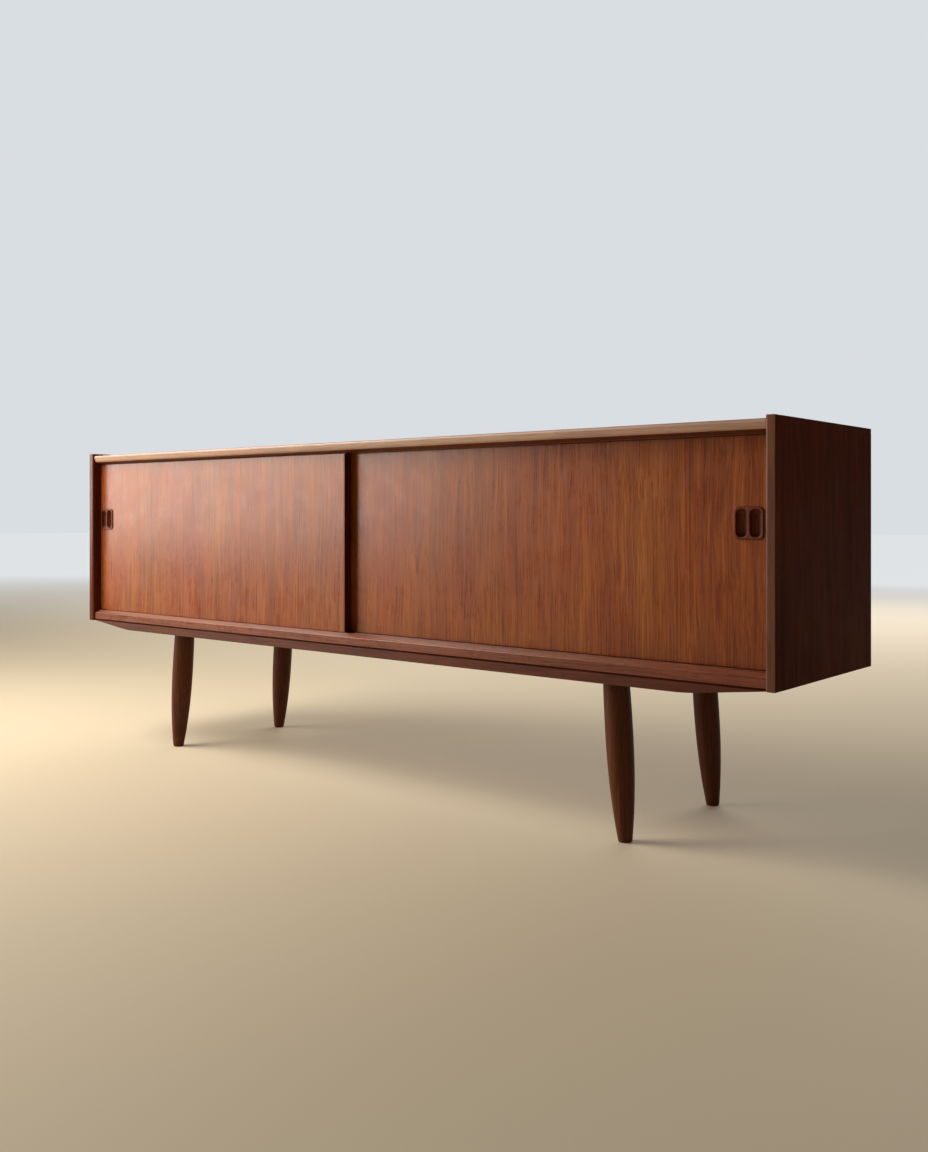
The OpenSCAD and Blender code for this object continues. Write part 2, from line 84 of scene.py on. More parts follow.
# Doors and pulls
SHOULDER = 1.5 * MM
GROOVE_PLAY = 0.5 * MM
MORTISE_PLAY = 0.2 * MM
PULL_CORNER = 9 * MM
PULL_CORNER_STEPS = 10
PULL_RIM = 4.2 * MM
PULL_RIB = 5 * MM
PULL_FLOOR = 5 * MM
RIM_EASE = 1.4 * MM
RECESS_CORNER = 8.5 * MM
RECESS_CORNER_STEPS = 12
RECESS_SCOOP = 8 * MM
SCOOP_STEPS = 6

# Base frame and legs
TAPER_LENGTH = 149 * MM
KNEE_EASE = 24 * MM
KNEE_STEPS = 8
KNEE_NEAR = 0.1 * MM
SPLAY = math.radians(4.27)
RAKE = math.radians(0.7)
BELLY_RADIUS = 26 * MM
BELLY_HEIGHT = 210 * MM
LEG_TOP_RADIUS = 24.7 * MM
FOOT_RADIUS = 13 * MM
FOOT_ROUND = 2.5 * MM
FOOT_CURVE = 2.3
FOOT_STEPS = 6
LEG_ROWS = 44
LEG_SIDES = 64


# ---- Workshop: how a piece is cut, joined and eased ----

def deselect():
    bpy.ops.object.select_all(action="DESELECT")


def take(piece):
    """Makes a piece the only one on the bench."""
    deselect()
    piece.select_set(True)
    bpy.context.view_layer.objects.active = piece


def block(name, low, high):
    """A squared block from its lowest to its highest corner."""
    deselect()
    low, high = Vector(low), Vector(high)
    bpy.ops.mesh.primitive_cube_add(size=1, location=(low + high) / 2)
    piece = bpy.context.object
    piece.name = piece.data.name = name
    piece.scale = high - low
    bpy.ops.object.transform_apply(location=True, rotation=True, scale=True)
    return piece


def saw(piece, point, normal, keep_both=False):
    """Cuts a piece with a flat plane; what lies on the normal's side falls away."""
    take(piece)
    bpy.ops.object.mode_set(mode="EDIT")
    bpy.ops.mesh.select_all(action="SELECT")
    bpy.ops.mesh.bisect(plane_co=point, plane_no=normal, use_fill=not keep_both,
                        clear_outer=not keep_both, threshold=WELD)
    bpy.ops.object.mode_set(mode="OBJECT")


def select_faces(piece, wanted):
    """Goes into edit mode with just the wanted faces selected."""
    take(piece)
    bpy.ops.object.mode_set(mode="EDIT")
    bpy.ops.mesh.select_mode(type="FACE")
    bpy.ops.mesh.select_all(action="DESELECT")
    mesh = bmesh.from_edit_mesh(piece.data)
    for face in mesh.faces:
        face.select = wanted(face)
    mesh.select_flush(True)
    bmesh.update_edit_mesh(piece.data)


def round_edges(piece, wanted, radius, segments):
    """Rounds the edges whose two ends pass the test."""
    take(piece)
    bpy.ops.object.mode_set(mode="EDIT")
    bpy.ops.mesh.select_mode(type="EDGE")
    bpy.ops.mesh.select_all(action="DESELECT")
    mesh = bmesh.from_edit_mesh(piece.data)
    for edge in mesh.edges:
        edge.select = wanted(edge.verts[0].co, edge.verts[1].co)
    bmesh.update_edit_mesh(piece.data)
    bpy.ops.mesh.bevel(offset=radius, segments=segments, affect="EDGES")
    bpy.ops.object.mode_set(mode="OBJECT")


def cut_away(piece, tool):
    """Takes the tool's shape out of a piece."""
    take(piece)
    cut = piece.modifiers.new("cut", "BOOLEAN")
    cut.operation = "DIFFERENCE"
    cut.solver = "EXACT"
    cut.object = tool
    bpy.ops.object.modifier_apply(modifier=cut.name)
    bpy.data.objects.remove(tool, do_unlink=True)


def even_shading(piece, angle):
    """Smooth over the rounded parts, while the broad faces stay flat."""
    take(piece)
    bpy.ops.object.shade_smooth_by_angle(angle=math.radians(angle))
    flat = piece.modifiers.new("flat_faces", "WEIGHTED_NORMAL")
    flat.weight = 100
    flat.keep_sharp = True
    bpy.ops.object.modifier_apply(modifier=flat.name)


def ease(piece, width, segments=3, angle=SMOOTH_ANGLE):
    """Takes the sharpness off every arris and smooths the shading between them."""
    take(piece)
    arris = piece.modifiers.new("ease", "BEVEL")
    arris.width = width
    arris.segments = segments
    arris.limit_method = "ANGLE"
    arris.angle_limit = math.radians(angle)
    bpy.ops.object.modifier_apply(modifier=arris.name)
    even_shading(piece, angle)


def joined(name, parts):
    """Several loose parts kept as one piece."""
    deselect()
    for part in parts:
        part.select_set(True)
    bpy.context.view_layer.objects.active = parts[0]
    bpy.ops.object.join()
    piece = bpy.context.object
    piece.name = piece.data.name = name
    return piece


def copy_of(piece, name):
    """A copy with its own mesh."""
    twin = piece.copy()
    twin.data = piece.data.copy()
    twin.name = twin.data.name = name
    bpy.context.collection.objects.link(twin)
    return twin


def veneer(piece, wood, facing):
    """Lays another finish on the faces that look one way."""
    piece.data.materials.append(wood)
    for face in piece.data.polygons:
        if face.normal.dot(Vector(facing)) > FACING:
            face.material_index = len(piece.data.materials) - 1


def fit(piece, wood, slot, body, *nodes):
    """Finishes a piece, fixes it to its body and puts it in place of the plain nodes."""
    piece.data.materials.clear()
    piece.data.materials.append(wood)
    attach(piece, body)
    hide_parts(*nodes)


def keep(node, wood):
    """A node whose shape is right keeps its mesh and gets its finish."""
    part = frame["nodes"][node]
    if not part.material_slots:
        part.data.materials.append(wood)
    for place in part.material_slots:
        place.material = wood


# ---- Finishes ----

class Finish:
    """A material being put together, with short words for its steps."""

    def __init__(self, name):
        self.material = bpy.data.materials.new(name)
        self.material.use_nodes = True
        self.tree = self.material.node_tree
        self.shader = self.tree.nodes["Principled BSDF"]
        self.place = self.node("ShaderNodeTexCoord").outputs["Object"]

    def node(self, kind, **settings):
        made = self.tree.nodes.new(kind)
        for key, value in settings.items():
            setattr(made, key, value)
        return made

    def link(self, source, target):
        if isinstance(source, bpy.types.NodeSocket):
            self.tree.links.new(source, target)
        else:
            target.default_value = source

    def math(self, operation, a, b=0.0, clamp=False):
        step = self.node("ShaderNodeMath", operation=operation, use_clamp=clamp)
        self.link(a, step.inputs[0])
        self.link(b, step.inputs[1])
        return step.outputs[0]

    def vector(self, operation, a, b):
        step = self.node("ShaderNodeVectorMath", operation=operation)
        self.link(a, step.inputs[0])
        self.link(b, step.inputs[1])
        return step.outputs[0]

    def noise(self, where, scale, detail, rough, shift=None):
        step = self.node("ShaderNodeTexNoise", noise_dimensions="3D" if shift is None else "4D")
        self.link(where, step.inputs["Vector"])
        if shift is not None:
            self.link(shift, step.inputs["W"])
        step.inputs["Scale"].default_value = scale
        step.inputs["Detail"].default_value = detail
        step.inputs["Roughness"].default_value = rough
        return step

    def spread(self, value, low, high, new_low=0.0, new_high=1.0):
        step = self.node("ShaderNodeMapRange")
        for socket, number in zip(step.inputs[:5], (value, low, high, new_low, new_high)):
            self.link(number, socket)
        return step.outputs[0]

    def ramp(self, value, tones):
        step = self.node("ShaderNodeValToRGB")
        marks = step.color_ramp.elements
        while len(marks) < len(tones):
            marks.new(0.5)
        for mark, (at, tone) in zip(marks, tones):
            mark.position = at
            mark.color = (*tone, 1.0)
        self.link(value, step.inputs[0])
        return step.outputs[0]

    def blend(self, factor, a, b, how="MIX"):
        step = self.node("ShaderNodeMix", data_type="RGBA", blend_type=how)
        self.link(factor, step.inputs[0])
        self.link(a, step.inputs[6])
        self.link(b, step.inputs[7])
        return step.outputs[2]

    def relief(self, height, strength, distance):
        step = self.node("ShaderNodeBump")
        step.inputs["Strength"].default_value = strength
        step.inputs["Distance"].default_value = distance
        self.link(height, step.inputs["Height"])
        self.tree.links.new(step.outputs[0], self.shader.inputs["Normal"])


# Layers of the teak's figure: scale across the grain, size across it as a share of the size
# along it, detail and roughness
LINES = (430.0, 0.013, 3.0, 0.65)
BANDS = (42.0, 0.045, 3.0, 0.6)
RINGS = (15.0, 0.045, 1.0, 0.4)
PATCHES = (3.1, 1.0, 2.0, 0.5)
STREAKS = (760.0, 0.022, 2.0, 0.5)
PORES = (1700.0, 0.03, 2.0, 0.6)
WANDER = (11.0, 0.3, 2.0, 0.5)
WARMTH = (6.0, 0.35, 2.0, 0.5)
RUBBING = (24.0, 1.0, 3.0, 0.6)
# Layers of the back's plywood
PLY_LINES = (120.0, 0.05, 4.0, 0.6)
PLY_BANDS = (14.0, 0.05, 3.0, 0.5)

# Share of each layer in the tone, and how often the rings fold over
LINE_PART, BAND_PART, RING_PART, PATCH_PART = 0.56, 0.24, 0.05, 0.20
RING_FOLDS = 26.0
# Span of a noise's usual values, and of the tones that they pick
USUAL = (0.35, 0.65)
TONE_START, TONE_SPAN = 0.38, 0.27
# Where a streak and a pore begin and are full, and how dark each makes the wood
STREAK_EDGE, PORE_EDGE = (0.54, 0.64), (0.58, 0.70)
STREAK_PART, PORE_PART = 0.34, 0.35
# Tints of the log's heart and of its outside, and of a streak or a pore
HEART_TINT = (1.0, 0.93, 0.88, 1.0)
OUTER_TINT = (1.0, 1.17, 0.94, 1.0)
DARK_TINT = (0.30, 0.22, 0.16, 1.0)
# How far growth wanders from a straight line, and how far apart in the log two leaves are cut
MIDDLE = (0.5, 0.5, 0.5)
SWAY = (0.026, 0.026, 0.026)
LEAF_STEP = 0.16
# Roughness varies by this much below and above a wood's gloss value
GLOSS_BELOW, GLOSS_ABOVE = 0.05, 0.09
# Relief of the pores and lines
LINE_RELIEF = 0.35
GRAIN_DEPTH, GRAIN_STRENGTH = 0.10 * MM, 0.18
# Light that tarnish leaves to a metal, and mottle to fibre, nylon or beech
TARNISH = 0.45
MOTTLE = 0.86


def along(made, where, grain, share):
    """Coordinates drawn out along the grain."""
    step = made.node("ShaderNodeMapping")
    step.inputs["Scale"].default_value = [share if axis == grain else 1.0 for axis in "XYZ"]
    made.link(where, step.inputs["Vector"])
    return step.outputs[0]


def layer(made, where, grain, sort, shift=None):
    """One layer of a wood's figure, drawn out along the grain."""
    scale, share, detail, rough = sort
    return made.noise(along(made, where, grain, share), scale, detail, rough, shift)


def teak(name, grain, tones, leaf=0.0, gloss=0.27, sheen=0.42, coat=0.0, shift=0.0):
    """Oiled teak with its grain along one axis; leaf is the width of a veneer leaf along X."""
    made = Finish(name)
    place = made.place
    log = shift
    # Each veneer leaf is cut from another depth of the log
    if leaf:
        across = made.node("ShaderNodeSeparateXYZ")
        made.link(place, across.inputs[0])
        number = made.math("FLOOR", made.math("DIVIDE", across.outputs[0], leaf))
        log = made.math("ADD", made.math("MULTIPLY", number, LEAF_STEP), shift)
    # Growth wanders a little from a straight line
    sway = made.vector("SUBTRACT", layer(made, place, grain, WANDER, shift).outputs["Color"], MIDDLE)
    grown = made.vector("ADD", place, made.vector("MULTIPLY", sway, SWAY))
    fine = layer(made, grown, grain, LINES, log).outputs[0]
    bands = layer(made, grown, grain, BANDS, log).outputs[0]
    patch = layer(made, place, grain, PATCHES, shift).outputs[0]
    rings = layer(made, grown, grain, RINGS, log).outputs[0]
    rings = made.math("PINGPONG", made.math("MULTIPLY", rings, RING_FOLDS), 1.0)
    tone = made.math("MULTIPLY", fine, LINE_PART)
    for part, share in ((bands, BAND_PART), (rings, RING_PART), (patch, PATCH_PART)):
        tone = made.math("ADD", tone, made.math("MULTIPLY", part, share))
    last = len(tones) - 1
    colour = made.ramp(tone, [(TONE_START + TONE_SPAN * i / last, tones[i]) for i in range(len(tones))])
    # The heart of the log runs redder, its outside more golden
    warmth = made.spread(layer(made, place, grain, WARMTH, shift).outputs[0], *USUAL)
    colour = made.blend(1.0, colour, made.blend(warmth, HEART_TINT, OUTER_TINT), "MULTIPLY")
    # Dark streaks, and open pores as fine dashes
    streak = made.spread(layer(made, grown, grain, STREAKS, log).outputs[0], *STREAK_EDGE)
    pore = made.spread(layer(made, place, grain, PORES, log).outputs[0], *PORE_EDGE)
    dark = made.math("ADD", made.math("MULTIPLY", streak, STREAK_PART),
                     made.math("MULTIPLY", pore, PORE_PART), clamp=True)
    colour = made.blend(dark, colour, made.blend(1.0, colour, DARK_TINT, "MULTIPLY"))
    made.link(colour, made.shader.inputs["Base Color"])
    # Years of handling leave some patches a little duller
    rub = layer(made, place, grain, RUBBING, shift).outputs[0]
    shine = made.math("ADD", made.math("MULTIPLY", fine, 0.5), made.math("MULTIPLY", rub, 0.5))
    shine = made.spread(shine, *USUAL, gloss - GLOSS_BELOW, gloss + GLOSS_ABOVE)
    made.link(shine, made.shader.inputs["Roughness"])
    made.shader.inputs["Specular IOR Level"].default_value = sheen
    made.shader.inputs["Coat Weight"].default_value = coat
    made.shader.inputs["Coat Roughness"].default_value = gloss
    sunk = made.math("ADD", pore, streak)
    height = made.math("SUBTRACT", made.math("MULTIPLY", fine, LINE_RELIEF), sunk)
    made.relief(height, strength=GRAIN_STRENGTH, distance=GRAIN_DEPTH)
    return made.material


def plywood(name):
    """Thin plywood with a plain pale face, grain upright."""
    made = Finish(name)
    lines = layer(made, made.place, "Z", PLY_LINES).outputs[0]
    bands = layer(made, made.place, "Z", PLY_BANDS).outputs[0]
    tone = made.math("ADD", made.math("MULTIPLY", lines, 0.5), made.math("MULTIPLY", bands, 0.5))
    colour = made.ramp(tone, list(zip((0.35, 0.5, 0.65), PLY_TONES)))
    made.link(colour, made.shader.inputs["Base Color"])
    made.shader.inputs["Roughness"].default_value = 0.72
    made.relief(lines, strength=0.3, distance=0.15 * MM)
    return made.material


def darker(colour, share):
    """The same colour with a share of its light."""
    return (*[part * share for part in colour], 1.0)


def metal(name, colour, rough, grime):
    """Plain hardware with fine scratches and a little tarnish."""
    made = Finish(name)
    rub = made.noise(made.place, scale=900.0, detail=4.0, rough=0.7).outputs[0]
    dull = made.noise(made.place, scale=120.0, detail=3.0, rough=0.6).outputs[0]
    dull = made.spread(dull, 0.4, 0.7)
    tint = made.blend(made.math("MULTIPLY", dull, grime), (*colour, 1.0), darker(colour, TARNISH))
    made.link(tint, made.shader.inputs["Base Color"])
    made.link(made.spread(rub, 0.3, 0.7, rough - 0.08, rough + 0.12), made.shader.inputs["Roughness"])
    made.shader.inputs["Metallic"].default_value = 1.0
    made.relief(rub, strength=0.1, distance=0.05 * MM)
    return made.material


def plain(name, colour, rough, grit):
    """Fibre, nylon or beech: an even colour with a fine mottle."""
    made = Finish(name)
    speck = made.noise(made.place, scale=grit, detail=3.0, rough=0.6).outputs[0]
    tint = made.blend(made.spread(speck, *USUAL), darker(colour, MOTTLE), (*colour, 1.0))
    made.link(tint, made.shader.inputs["Base Color"])
    made.shader.inputs["Roughness"].default_value = rough
    made.relief(speck, strength=0.15, distance=0.1 * MM)
    return made.material


# Tones of each wood, from the dark of its figure to the pale
DOOR_TONES = ((0.135, 0.023, 0.004), (0.225, 0.045, 0.008), (0.305, 0.072, 0.013), (0.395, 0.110, 0.023))
# The lip's tones are paler and greyer than the doors': partly the teak's colour, partly a painted
# highlight of the window's sheen.
LIP_HIGHLIGHT_TONES = ((0.23, 0.090, 0.045), (0.33, 0.146, 0.080), (0.42, 0.200, 0.122), (0.50, 0.26, 0.170))
SILL_TONES = ((0.115, 0.021, 0.009), (0.16, 0.033, 0.015), (0.21, 0.048, 0.023), (0.27, 0.066, 0.033))
# The sill's bevel is paler than its face: a painted highlight where the bevel catches the light from
# above.
SILL_BEVEL_HIGHLIGHT_TONES = ((0.14, 0.036, 0.018), (0.20, 0.056, 0.030), (0.26, 0.080, 0.044), (0.33, 0.108, 0.062))
# Near-black tones for the faces of the shadow groove: painted shade in the groove.
GROOVE_SHADE_TONES = ((0.03, 0.005, 0.002), (0.05, 0.009, 0.003), (0.07, 0.013, 0.005), (0.09, 0.018, 0.007))
# The case's dark teak; the same tones are laid as painted shade on the left front lipping, under the lip,
# on the doors' right-hand ends and on the front lippings' inner faces.
CASE_AND_SHADE_TONES = ((0.045, 0.006, 0.001), (0.078, 0.012, 0.002), (0.11, 0.019, 0.004), (0.15, 0.029, 0.007))
EDGE_TONES = ((0.078, 0.020, 0.010), (0.115, 0.032, 0.016), (0.155, 0.045, 0.023), (0.20, 0.062, 0.033))
LEG_TONES = ((0.046, 0.009, 0.003), (0.072, 0.015, 0.005), (0.10, 0.024, 0.008), (0.135, 0.035, 0.013))
PULL_TONES = ((0.085, 0.018, 0.008), (0.13, 0.029, 0.012), (0.175, 0.042, 0.019), (0.23, 0.060, 0.028))
PLY_TONES = ((0.30, 0.15, 0.07), (0.42, 0.23, 0.12), (0.52, 0.31, 0.17))

LEFT_DOOR_TEAK = teak("left_door_teak", "Z", DOOR_TONES, leaf=193 * MM, shift=0.0)
RIGHT_DOOR_TEAK = teak("right_door_teak", "Z", DOOR_TONES, leaf=207 * MM, shift=4.0)
LIP_TEAK = teak("lip_painted_highlight_teak", "X", LIP_HIGHLIGHT_TONES, gloss=0.58, sheen=1.0, coat=1.0, shift=7.0)
SILL_TEAK = teak("sill_teak", "X", SILL_TONES, sheen=0.5, shift=9.0)
SILL_BEVEL_HIGHLIGHT_TEAK = teak("sill_bevel_painted_highlight_teak", "X", SILL_BEVEL_HIGHLIGHT_TONES, gloss=0.36, sheen=0.6, shift=9.0)
GROOVE_SHADE_TEAK = teak("shadow_groove_painted_shade_teak", "X", GROOVE_SHADE_TONES, gloss=0.6, sheen=0.05, shift=9.0)
# Base-rail teak; also laid on the bevel under the lip as painted shade.
RAIL_AND_LIP_SHADE_TEAK = teak("base_rail_and_lip_shade_teak", "X", CASE_AND_SHADE_TONES, gloss=0.40, sheen=0.30, shift=10.0)
TOP_TEAK = teak("top_veneer_teak", "X", DOOR_TONES, gloss=0.42, shift=11.0)
INSIDE_TEAK = teak("inside_veneer_teak", "X", DOOR_TONES, gloss=0.5, shift=12.0)
# Side veneer; also laid on the doors' right-hand ends and the front lippings' inner faces as painted
# shade.
SIDE_VENEER_AND_GAP_SHADE_TEAK = teak("side_veneer_and_gap_shade_teak", "Z", CASE_AND_SHADE_TONES, leaf=150 * MM, gloss=0.5, sheen=0.02, shift=13.0)
UPRIGHT_TEAK = teak("upright_lipping_teak", "Z", EDGE_TONES, gloss=0.34, shift=15.0)
# A darker copy of the lipping teak for the left front lipping: painted shade.
SHADED_TEAK = teak("left_lipping_painted_shade_teak", "Z", CASE_AND_SHADE_TONES, sheen=0.20, shift=16.0)
CROSSWISE_TEAK = teak("crosswise_teak", "Y", CASE_AND_SHADE_TONES, gloss=0.42, sheen=0.14, shift=17.0)
LEG_TEAK = teak("turned_leg_teak", "Z", LEG_TONES, gloss=0.40, sheen=0.16, shift=19.0)
PULL_TEAK = teak("pull_teak", "Z", PULL_TONES, gloss=0.38, sheen=0.20, shift=21.0)
BACK_PLY = plywood("back_plywood")
ZINC = metal("zinc_plated_steel", (0.55, 0.55, 0.53), rough=0.38, grime=0.5)
BRASS = metal("dull_brass", (0.62, 0.43, 0.17), rough=0.34, grime=0.6)
BEECH = plain("beech_dowel", (0.60, 0.40, 0.24), rough=0.6, grit=400.0)
FIBRE = plain("slip_fibre", (0.10, 0.045, 0.03), rough=0.55, grit=600.0)
NYLON = plain("glide_nylon", (0.70, 0.67, 0.60), rough=0.45, grit=800.0)


# ---- Case ----

def corners(node):
    low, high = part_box(node)
    return Vector(low), Vector(high)


RAIL_LOW, RAIL_HIGH = corners("top_front_rail")
SILL_LOW, SILL_HIGH = corners("bottom_front_rail")
BACK_LOW, BACK_HIGH = corners("right_back_panel")


def side_panels():
    """Veneered side boards, rebated at the back for the back panels."""
    for side, sign in (("left", -1), ("right", 1)):
        low, high = corners(f"{side}_side_panel")
        board = block(f"{side}_side_board", low, high)
        inner = low.x if sign > 0 else high.x
        reach = BACK_HIGH.x + REBATE_PLAY
        x0, x1 = sorted((inner - sign * OVERCUT, sign * reach))
        tool = block("rebate_plane", (x0, BACK_LOW.y, BACK_LOW.z - REBATE_PLAY),
                     (x1, high.y + OVERCUT, BACK_HIGH.z + REBATE_PLAY))
        cut_away(board, tool)
        ease(board, FINE_EASE)
        fit(board, SIDE_VENEER_AND_GAP_SHADE_TEAK, "case_veneer", "cabinet", f"{side}_side_panel")


def side_lippings():
    """Solid strips on the sides' front and top edges; the front one has a broad inner arris.

    The case veneer covers the front one's outer side and the top one's outer side; the front one's inner
    side takes it as painted shade in the gap beside the door.
    """
    for side, sign in (("left", -1), ("right", 1)):
        low, high = corners(f"{side}_side_lipping")
        strip = block(f"{side}_front_edge", low, high)
        inner = low.x if sign > 0 else high.x
        saw(strip, (inner, low.y + LIPPING_ARRIS, 0), (-sign, -1, 0))
        ease(strip, EDGE_EASE)
        # The left front lipping takes the darker case tones as painted shade, where the right one keeps
        # the lit edge tones.
        wood = UPRIGHT_TEAK if side == "right" else SHADED_TEAK
        fit(strip, wood, "solid_teak", "cabinet", f"{side}_side_lipping")
        veneer(strip, SIDE_VENEER_AND_GAP_SHADE_TEAK, (sign, 0, 0))
        # The inner face takes the dark case veneer: painted shade in the gap beside the door.
        veneer(strip, SIDE_VENEER_AND_GAP_SHADE_TEAK, (-sign, 0, 0))
        low, high = corners(f"{side}_top_lipping")
        strip = block(f"{side}_top_edge", low, high)
        ease(strip, EDGE_EASE)
        fit(strip, CROSSWISE_TEAK, "solid_teak", "cabinet", f"{side}_top_lipping")
        veneer(strip, SIDE_VENEER_AND_GAP_SHADE_TEAK, (sign, 0, 0))


def top_and_bottom_boards():
    """The two long boards behind the front rails, rebated for the back panels."""
    boards = (("top_board", "top_panel", TOP_TEAK), ("bottom_board", "bottom_panel", INSIDE_TEAK))
    for node, name, wood in boards:
        low, high = corners(node)
        board = block(name, (low.x, RAIL_HIGH.y, low.z), high)
        if node == "top_board":
            z0, z1 = low.z - OVERCUT, BACK_HIGH.z + REBATE_PLAY
        else:
            z0, z1 = BACK_LOW.z - REBATE_PLAY, high.z + OVERCUT
        tool = block("rebate_plane", (low.x - OVERCUT, BACK_LOW.y, z0),
                     (high.x + OVERCUT, high.y + OVERCUT, z1))
        cut_away(board, tool)
        ease(board, FINE_EASE)
        fit(board, wood, "case_veneer", "cabinet", node)


def door_groove(rail, strip_node, z0, z1):
    """Ploughs a door's groove, in line with its slip strip."""
    low, high = corners(strip_node)
    tool = block("plough", (low.x - OVERCUT, low.y, z0), (high.x + OVERCUT, high.y, z1))
    cut_away(rail, tool)


def top_rail():
    """The upper front rail: a rounded lip that leans back as it goes down, and a bevel under it darkened
    as painted shade.
    """
    rail = block("top_lip_rail", RAIL_LOW, RAIL_HIGH)
    brow = Vector((0, RAIL_LOW.y, RAIL_HIGH.z))
    turn = Vector((0, RAIL_LOW.y + LIP_LEAN, RAIL_HIGH.z - LIP_HEIGHT))
    bevel = Vector((0, RAIL_LOW.z - turn.z, -MOULD_DEPTH)).normalized()
    saw(rail, turn, (0, -LIP_HEIGHT, -LIP_LEAN))
    saw(rail, turn, bevel)
    for edge, radius in ((brow, LIP_TOP_ROUND), (turn, LIP_LOW_ROUND)):
        def front_arris(a, b):
            return all((p.yz - edge.yz).length < TOUCH for p in (a, b))

        round_edges(rail, front_arris, radius, LIP_STEPS)
    for strip in ("front_slip_strip", "rear_slip_strip"):
        door_groove(rail, strip, RAIL_LOW.z - OVERCUT, RAIL_LOW.z + UPPER_GROOVE)
    ease(rail, FINE_EASE)
    # The lip's pale teak carries a painted highlight in its tones.
    fit(rail, LIP_TEAK, "solid_teak", "cabinet", "top_front_rail")
    # The bevel under the lip takes the dark base-rail teak: painted shade under the lip.
    veneer(rail, RAIL_AND_LIP_SHADE_TEAK, bevel)
    veneer(rail, TOP_TEAK, (0, 0, 1))


def bottom_rail():
    """The sill: an upright face, a bevel above it made paler as a painted highlight, and a small arris at
    the shadow line darkened as painted shade.
    """
    rail = block("sill_rail", SILL_LOW, SILL_HIGH)
    turn = Vector((0, SILL_LOW.y, SILL_LOW.z + SILL_FACE))
    bevel = Vector((0, turn.z - SILL_HIGH.z, MOULD_DEPTH)).normalized()
    saw(rail, turn, bevel)
    saw(rail, (0, SILL_LOW.y, SILL_LOW.z + SHADOW_LINE), (0, -1, -1))
    for strip in ("front_slip_strip", "rear_slip_strip"):
        door_groove(rail, strip, corners(strip)[0].z, SILL_HIGH.z + OVERCUT)
    ease(rail, EDGE_EASE)
    fit(rail, SILL_TEAK, "solid_teak", "cabinet", "bottom_front_rail")
    # The bevel takes the paler teak: painted highlight.
    veneer(rail, SILL_BEVEL_HIGHLIGHT_TEAK, bevel)
    # The arris at the shadow line takes near-black teak: painted shade in the groove.
    veneer(rail, GROOVE_SHADE_TEAK, Vector((0, -1, -1)).normalized())


def plain_boards():
    """Shelves, divider and their strips: squared boards with eased arrises."""
    boards = (
        ("left_shelf", "left_shelf_board", INSIDE_TEAK, "case_veneer"),
        ("right_shelf", "right_shelf_board", INSIDE_TEAK, "case_veneer"),
        ("left_shelf_lipping", "left_shelf_edge", LIP_TEAK, "solid_teak"),
        ("right_shelf_lipping", "right_shelf_edge", LIP_TEAK, "solid_teak"),
        ("centre_divider", "divider_board", SIDE_VENEER_AND_GAP_SHADE_TEAK, "case_veneer"),
        ("divider_lipping", "divider_edge", UPRIGHT_TEAK, "solid_teak"),
    )
    for node, name, wood, slot in boards:
        board = block(name, *corners(node))
        ease(board, EDGE_EASE if slot == "solid_teak" else FINE_EASE)
        fit(board, wood, slot, "cabinet", node)


# ---- Doors ----

def rounded_blank(name, middle, width, height, front, back, radius, segments=PULL_CORNER_STEPS):
    """An upright block whose four corners are rounded, as seen from the front."""
    half = Vector((width / 2, 0, height / 2))
    low = Vector((middle.x, front, middle.z)) - half
    high = Vector((middle.x, back, middle.z)) + half
    piece = block(name, low, high)

    def upright_corner(a, b):
        return (a.xz - b.xz).length < TOUCH

    round_edges(piece, upright_corner, radius, segments)
    return piece


def finger_pull(side):
    """A solid pull with a rounded rim, which stands proud, and two scooped finger recesses."""
    low, high = corners(f"{side}_pull")
    middle = (low + high) / 2
    width, height = high.x - low.x, high.z - low.z
    pull = rounded_blank(f"{side}_finger_pull", middle, width, height, low.y, high.y, PULL_CORNER)
    recess_width = (width - 2 * PULL_RIM - PULL_RIB) / 2
    recess_height = height - 2 * PULL_RIM
    deepest = high.y - PULL_FLOOR

    def at_the_bottom(a, b):
        return min(a.y, b.y) > deepest - TOUCH

    for sign in (-1, 1):
        at = middle + Vector((sign * (recess_width + PULL_RIB) / 2, 0, 0))
        gouge = rounded_blank("gouge", at, recess_width, recess_height, low.y - OVERCUT, deepest,
                              RECESS_CORNER, RECESS_CORNER_STEPS)
        round_edges(gouge, at_the_bottom, RECESS_SCOOP, SCOOP_STEPS)
        cut_away(pull, gouge)
    ease(pull, RIM_EASE, segments=4, angle=PULL_SMOOTH_ANGLE)
    fit(pull, PULL_TEAK, "solid_teak", f"{side}_door", f"{side}_pull")


def door_slab(name, side, x0, x1):
    """A door's section between two places: its shoulders and its upper and lower tongues."""
    low, high = corners(f"{side}_door_panel")
    strip_low, strip_high = corners("front_slip_strip" if side == "left" else "rear_slip_strip")
    foot = SILL_HIGH.z + SHOULDER
    head = RAIL_LOW.z - SHOULDER
    slab = block(name, (x0, low.y, foot), (x1, high.y, head))
    tongue = (strip_low.y + GROOVE_PLAY, strip_high.y - GROOVE_PLAY)
    for y in tongue:
        saw(slab, (0, y, 0), (0, 1, 0), keep_both=True)
    for level, up, reach in ((head, 1, high.z - head), (foot, -1, low.z - foot)):
        def on_tongue(face):
            middle = face.calc_center_median()
            flat = face.normal.z * up > FACING and abs(middle.z - level) < TOUCH
            return flat and tongue[0] < middle.y < tongue[1]

        select_faces(slab, on_tongue)
        bpy.ops.mesh.extrude_region_move(TRANSFORM_OT_translate={"value": (0, 0, reach)})
        bpy.ops.object.mode_set(mode="OBJECT")
    return slab


def pull_mortise(slab, side):
    """Takes out the door where its pull is let in."""
    low, high = corners(f"{side}_pull")
    width = high.x - low.x + MORTISE_PLAY
    height = high.z - low.z + MORTISE_PLAY
    tool = rounded_blank("mortise", (low + high) / 2, width, height, low.y - OVERCUT, high.y, PULL_CORNER)
    cut_away(slab, tool)


